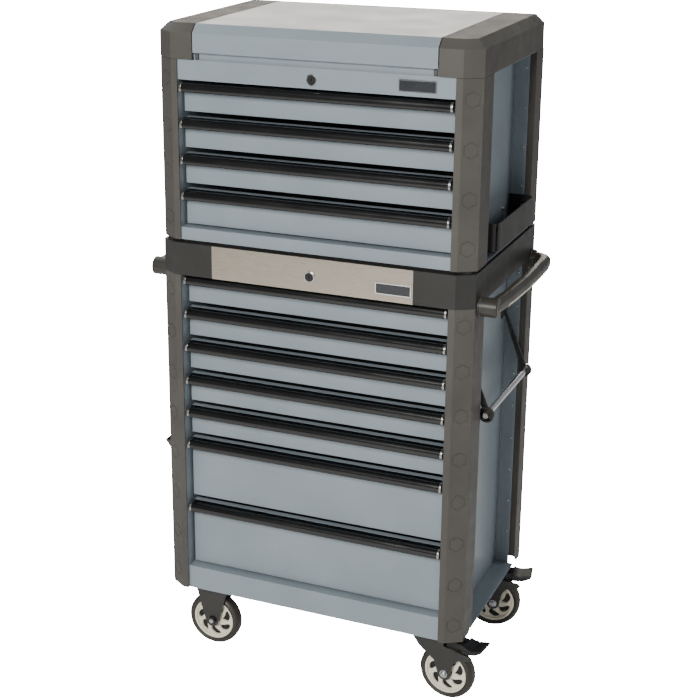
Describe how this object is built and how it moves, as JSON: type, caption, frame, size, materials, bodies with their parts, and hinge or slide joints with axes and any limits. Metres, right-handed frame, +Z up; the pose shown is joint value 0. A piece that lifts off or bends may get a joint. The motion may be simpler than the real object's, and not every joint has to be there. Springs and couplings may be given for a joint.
{
  "type": "rolling tool chest",
  "caption": "Two-part rolling tool chest: a drawer cabinet on braked casters under a lidded drawer chest, with side push handles, a roll holder and side trays.",
  "frame": {"origin": "on the floor, under the middle of the cabinet", "axes": "+Z up, +X to the right seen from the front, -Y towards the front, where the drawers open"},
  "size_m": [0.7886, 0.4607, 1.4185],
  "materials": {
    "body_steel": "satin blue-grey powder coat",
    "cover_plastic": "fine-grained warm dark grey moulding",
    "pull_black": "satin black extrusion with bright end caps",
    "wheel": "black tread on a cream moulded rim",
    "grip_plastic": "satin black moulding",
    "brushed_steel": "horizontal brushed grain",
    "zinc_steel": "bright zinc plate",
    "chrome": "polished",
    "mat_rubber": "ribbed rubber mat",
    "badge": "plain bright frame round a dark field",
    "black_steel": "satin black powder coat"
  },
  "bodies": {
    "carcass": {"badge_plates": "badge", "cabinet_back": "body_steel", "cabinet_collar": "cover_plastic", "cabinet_floor": "body_steel", "cabinet_kick_rail": "body_steel", "cabinet_posts": "cover_plastic", "cabinet_side_pocket": "black_steel", "cabinet_sides": "body_steel", "chest_back": "body_steel", "chest_floor": "body_steel", "chest_front_rails": "body_steel", "chest_posts": "cover_plastic", "chest_side_trays": "black_steel", "chest_sides": "body_steel", "chest_till": "body_steel", "collar_steel_strip": "brushed_steel", "drawer_runners": "zinc_steel", "hinge_fixed_leaves": "zinc_steel", "push_handles": "grip_plastic", "rigid_caster_forks": "black_steel", "roll_holder_arms": "black_steel", "swivel_caster_plates": "black_steel", "worktop_mat": "mat_rubber"},
    "cabinet_drawer_1": {"cabinet_drawer_1": "body_steel", "cabinet_pull_1": "pull_black"},
    "cabinet_drawer_2": {"cabinet_drawer_2": "body_steel", "cabinet_pull_2": "pull_black"},
    "cabinet_drawer_3": {"cabinet_drawer_3": "body_steel", "cabinet_pull_3": "pull_black"},
    "cabinet_drawer_4": {"cabinet_drawer_4": "body_steel", "cabinet_pull_4": "pull_black"},
    "cabinet_drawer_5": {"cabinet_drawer_5": "body_steel", "cabinet_pull_5": "pull_black"},
    "cabinet_drawer_6": {"cabinet_drawer_6": "body_steel", "cabinet_pull_6": "pull_black"},
    "cabinet_drawer_7": {"cabinet_drawer_7": "body_steel", "cabinet_pull_7": "pull_black"},
    "chest_drawer_1": {"chest_drawer_1": "body_steel", "chest_pull_1": "pull_black"},
    "chest_drawer_2": {"chest_drawer_2": "body_steel", "chest_pull_2": "pull_black"},
    "chest_drawer_3": {"chest_drawer_3": "body_steel", "chest_pull_3": "pull_black"},
    "chest_drawer_4": {"chest_drawer_4": "body_steel", "chest_pull_4": "pull_black"},
    "lid": {"lid_shell": "body_steel", "lid_end_caps": "cover_plastic", "hinge_lid_leaves": "zinc_steel"},
    "swivel_front": {"swivel_fork_front": "black_steel"},
    "wheel_front_right": {"wheel_front_right": "wheel"},
    "brake_pedal_front": {"brake_pedal_front": "black_steel"},
    "wheel_front_left": {"wheel_front_left": "wheel"},
    "swivel_rear": {"swivel_fork_rear": "black_steel"},
    "wheel_rear_right": {"wheel_rear_right": "wheel"},
    "brake_pedal_rear": {"brake_pedal_rear": "black_steel"},
    "wheel_rear_left": {"wheel_rear_left": "wheel"},
    "roll_holder_bar": {"roll_holder_bar": "chrome"},
    "chest_lock": {"chest_lock": "chrome"},
    "cabinet_lock": {"cabinet_lock": "chrome"}
  },
  "joints": [
    {"name": "cabinet_drawer_1_slide", "type": "slide", "parent": "carcass", "child": "cabinet_drawer_1", "axis": [0, -1, 0], "range_m": [0, 0.3]},
    {"name": "cabinet_drawer_2_slide", "type": "slide", "parent": "carcass", "child": "cabinet_drawer_2", "axis": [0, -1, 0], "range_m": [0, 0.3]},
    {"name": "cabinet_drawer_3_slide", "type": "slide", "parent": "carcass", "child": "cabinet_drawer_3", "axis": [0, -1, 0], "range_m": [0, 0.3]},
    {"name": "cabinet_drawer_4_slide", "type": "slide", "parent": "carcass", "child": "cabinet_drawer_4", "axis": [0, -1, 0], "range_m": [0, 0.3]},
    {"name": "cabinet_drawer_5_slide", "type": "slide", "parent": "carcass", "child": "cabinet_drawer_5", "axis": [0, -1, 0], "range_m": [0, 0.3]},
    {"name": "cabinet_drawer_6_slide", "type": "slide", "parent": "carcass", "child": "cabinet_drawer_6", "axis": [0, -1, 0], "range_m": [0, 0.3]},
    {"name": "cabinet_drawer_7_slide", "type": "slide", "parent": "carcass", "child": "cabinet_drawer_7", "axis": [0, -1, 0], "range_m": [0, 0.3]},
    {"name": "chest_drawer_1_slide", "type": "slide", "parent": "carcass", "child": "chest_drawer_1", "axis": [0, -1, 0], "range_m": [0, 0.3]},
    {"name": "chest_drawer_2_slide", "type": "slide", "parent": "carcass", "child": "chest_drawer_2", "axis": [0, -1, 0], "range_m": [0, 0.3]},
    {"name": "chest_drawer_3_slide", "type": "slide", "parent": "carcass", "child": "chest_drawer_3", "axis": [0, -1, 0], "range_m": [0, 0.3]},
    {"name": "chest_drawer_4_slide", "type": "slide", "parent": "carcass", "child": "chest_drawer_4", "axis": [0, -1, 0], "range_m": [0, 0.3]},
    {"name": "lid_hinge", "type": "hinge", "parent": "carcass", "child": "lid", "pos_m": [0, 0.225, 1.34725], "axis": [-1, 0, 0], "range_deg": [0, 80]},
    {"name": "swivel_front", "type": "hinge", "parent": "carcass", "child": "swivel_front", "pos_m": [0.26, -0.1635, 0.15], "axis": [0, 0, 1], "continuous": true},
    {"name": "wheel_front_right_spin", "type": "hinge", "parent": "swivel_front", "child": "wheel_front_right", "pos_m": [0.30065, -0.16885, 0.0625], "axis": [0.1305, 0.9914, 0], "continuous": true},
    {"name": "wheel_front_left_spin", "type": "hinge", "parent": "carcass", "child": "wheel_front_left", "pos_m": [-0.26, -0.1635, 0.0625], "axis": [0, 1, 0], "continuous": true},
    {"name": "brake_pedal_front_lift", "type": "hinge", "parent": "swivel_front", "child": "brake_pedal_front", "pos_m": [0.30957, -0.17003, 0.134], "axis": [-0.1305, -0.9914, 0], "range_deg": [0, 14]},
    {"name": "swivel_rear", "type": "hinge", "parent": "carcass", "child": "swivel_rear", "pos_m": [0.26, 0.1635, 0.15], "axis": [0, 0, 1], "continuous": true},
    {"name": "wheel_rear_right_spin", "type": "hinge", "parent": "swivel_rear", "child": "wheel_rear_right", "pos_m": [0.30025, 0.17132, 0.0625], "axis": [-0.1908, 0.9816, 0], "continuous": true},
    {"name": "wheel_rear_left_spin", "type": "hinge", "parent": "carcass", "child": "wheel_rear_left", "pos_m": [-0.26, 0.1635, 0.0625], "axis": [0, 1, 0], "continuous": true},
    {"name": "brake_pedal_rear_lift", "type": "hinge", "parent": "swivel_rear", "child": "brake_pedal_rear", "pos_m": [0.30908, 0.17304, 0.134], "axis": [0.1908, -0.9816, 0], "range_deg": [0, 14]},
    {"name": "roll_bar_spin", "type": "hinge", "parent": "carcass", "child": "roll_holder_bar", "pos_m": [0.352, 0, 0.648], "axis": [0, 1, 0], "continuous": true},
    {"name": "chest_lock_turn", "type": "hinge", "parent": "carcass", "child": "chest_lock", "pos_m": [0, -0.22, 1.3205], "axis": [0, 1, 0], "range_deg": [0, 90]},
    {"name": "cabinet_lock_turn", "type": "hinge", "parent": "carcass", "child": "cabinet_lock", "pos_m": [0, -0.229, 0.923], "axis": [0, 1, 0], "range_deg": [0, 90]}
  ]
}
